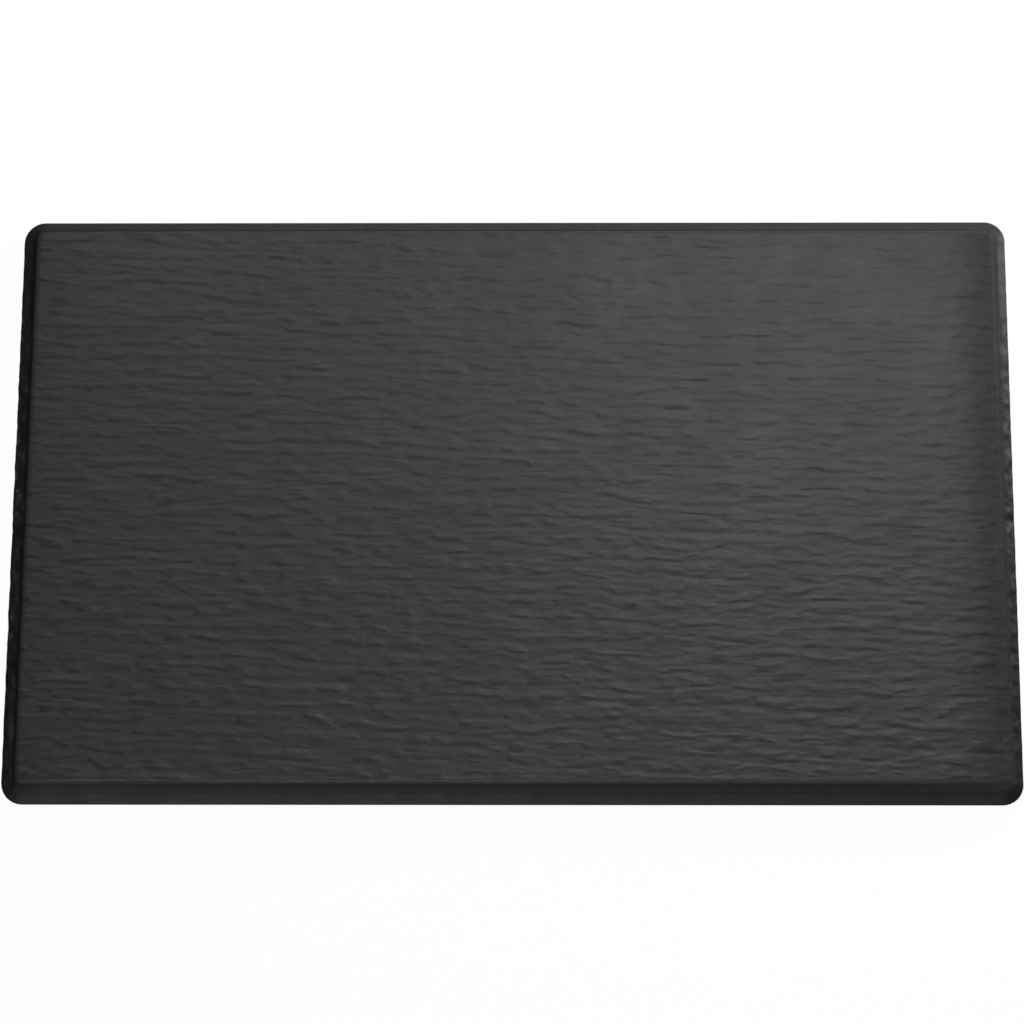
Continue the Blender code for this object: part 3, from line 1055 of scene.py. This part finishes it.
def floor_material(stage):
    """A pale floor that the camera sees as white, with the shadow on it."""
    material, tree, shader = new_material("pale_floor")
    feed(tree, shader.inputs["Base Color"], stage.floor_colour)
    shader.inputs["Roughness"].default_value = 0.9
    glow = add_node(tree, "ShaderNodeEmission")
    glow.inputs["Strength"].default_value = GLOW_STRENGTH
    seen = mix_shaders(tree, FLOOR_GLOW, shader.outputs[0], glow.outputs[0])
    # Painted shade and painted light on the floor for the light it throws back: nearly black at the left,
    # pale at the right.
    across = axes_of(tree, object_place(tree))["X"]
    thrown = add_node(tree, "ShaderNodeBsdfDiffuse")
    feed(tree, thrown.inputs["Color"],
         remap(tree, across, *BOUNCE_RUN, stage.left_bounce, stage.right_bounce))
    both = mix_shaders(tree, camera_ray(tree), thrown.outputs[0], seen)
    feed(tree, tree.nodes["Material Output"].inputs["Surface"], both)
    return material


def set_world(stage):
    """A dim even room that the camera sees as white."""
    world = bpy.data.worlds.new("room")
    bpy.context.scene.world = world
    world.use_nodes = True
    tree = world.node_tree
    lit = tree.nodes["Background"]
    seen = add_node(tree, "ShaderNodeBackground")
    for background, strength in ((lit, stage.room), (seen, 1.0)):
        feed_all(tree, background, WHITE, strength)
    both = mix_shaders(tree, camera_ray(tree), lit.outputs[0], seen.outputs[0])
    feed(tree, tree.nodes["World Output"].inputs["Surface"], both)


def add_softbox(softbox, power):
    """A rectangular lamp that faces a point and that the camera doesn't see."""
    bpy.ops.object.light_add(type="AREA", location=softbox.place)
    lamp = bpy.context.object
    lamp.name = softbox.name
    lamp.data.shape = "RECTANGLE"
    lamp.data.size = softbox.width
    lamp.data.size_y = softbox.depth
    lamp.data.energy = power
    ahead = Vector(softbox.aim) - Vector(softbox.place)
    lamp.rotation_euler = ahead.to_track_quat("-Z", "Y").to_euler()
    lamp.visible_camera = False


def place_camera(stage):
    """Puts the camera where the photograph was taken from."""
    bpy.ops.object.camera_add()
    camera = bpy.context.object
    camera.name = "photo_camera"
    turn = Matrix.Rotation(stage.azimuth, 4, "Z")
    tilt = Matrix.Rotation(math.pi / 2.0 - stage.elevation, 4, "X")
    roll = Matrix.Rotation(stage.roll, 4, "Z")
    back = Matrix.Translation((0.0, 0.0, stage.distance))
    camera.matrix_world = Matrix.Translation(stage.aim) @ turn @ tilt @ roll @ back
    camera.data.lens = stage.lens
    bpy.context.scene.camera = camera


# Operators, panel and registration

# Angles between faces past which an edge stays sharp
SHELL_SMOOTH = math.radians(50.0)
FOOT_SMOOTH = math.radians(40.0)


class SLATE_OT_add_shell(bpy.types.Operator):
    """Model the moulded shell with its riven face, hewn flange and hollow underside"""

    bl_idname = "slate_tray.add_shell"
    bl_label = "Add Shell"

    def execute(self, context):
        shell = context.scene.slate_shell
        clear_selection()
        levels = outer_levels(shell) + inner_levels(shell)
        piece = add_face_grid(shell, levels[0])
        piece.name = "riven_shell"
        piece.data.name = piece.name
        select_open_edges()
        for old, new in zip(levels, levels[1:]):
            extrude_loops(on_level(shell, old, new))
        add_hollow_roof(shell)
        leave_closed_mesh()
        rise, outer = weigh_shell(shell, piece)
        shape_ends(shell, piece)
        raise_relief(shell, piece)
        for layer in CHIP_LAYERS:
            strike_chips(piece, layer, shell.left_chip * layer.depth)
        paint_shell(shell, piece, rise, outer)
        finish_piece(piece, [SHELL_NODE], SHELL_SMOOTH)
        return {"FINISHED"}


class SLATE_OT_add_feet(bpy.types.Operator):
    """Model one silicone foot and put a copy of it in each socket"""

    bl_idname = "slate_tray.add_feet"
    bl_label = "Add Feet"

    def execute(self, context):
        first = model_foot(context.scene.slate_foot)
        for node, axis in zip(FOOT_NODES, foot_axes()):
            piece = bpy.data.objects.new("silicone_" + node, first.data.copy())
            piece.data.name = piece.name
            piece.data.transform(Matrix.Translation((axis.x, axis.y, 0.0)))
            context.scene.collection.objects.link(piece)
            finish_piece(piece, [node], FOOT_SMOOTH)
        bpy.data.objects.remove(first)
        return {"FINISHED"}


class SLATE_OT_set_stage(bpy.types.Operator):
    """Set the floor, the lamps, the room and the camera"""

    bl_idname = "slate_tray.set_stage"
    bl_label = "Set Stage"

    def execute(self, context):
        stage = context.scene.slate_stage
        clear_selection()
        place_camera(stage)
        set_world(stage)
        bpy.ops.mesh.primitive_plane_add(size=FLOOR_SIZE)
        floor = context.object
        floor.name = "studio_floor"
        floor.data.materials.append(floor_material(stage))
        for softbox in SOFTBOXES:
            add_softbox(softbox, getattr(stage, softbox.power))
        context.scene.view_settings.view_transform = "Standard"
        return {"FINISHED"}


# Each group of settings, by its name on the scene, and the operator that uses it
PARTS = (
    ("slate_shell", ShellSettings, SLATE_OT_add_shell),
    ("slate_foot", FootSettings, SLATE_OT_add_feet),
    ("slate_stage", StageSettings, SLATE_OT_set_stage),
)


class SLATE_PT_tray(bpy.types.Panel):
    """Lists the tray's pieces and its stage"""

    bl_idname = "SLATE_PT_tray"
    bl_label = "Slate Tray"
    bl_space_type = "VIEW_3D"
    bl_region_type = "UI"
    bl_category = "Slate Tray"

    def draw(self, context):
        for name, settings, operator in PARTS:
            box = self.layout.box()
            for key in settings.__annotations__:
                box.prop(getattr(context.scene, name), key)
            box.operator(operator.bl_idname)


def register():
    for name, settings, operator in PARTS:
        bpy.utils.register_class(settings)
        bpy.utils.register_class(operator)
        setattr(bpy.types.Scene, name, PointerProperty(type=settings))
    bpy.utils.register_class(SLATE_PT_tray)


def unregister():
    bpy.utils.unregister_class(SLATE_PT_tray)
    for name, settings, operator in reversed(PARTS):
        delattr(bpy.types.Scene, name)
        bpy.utils.unregister_class(operator)
        bpy.utils.unregister_class(settings)


def main():
    register()
    bpy.ops.slate_tray.set_stage()
    bpy.ops.slate_tray.add_shell()
    bpy.ops.slate_tray.add_feet()


if __name__ == "__main__":
    main()
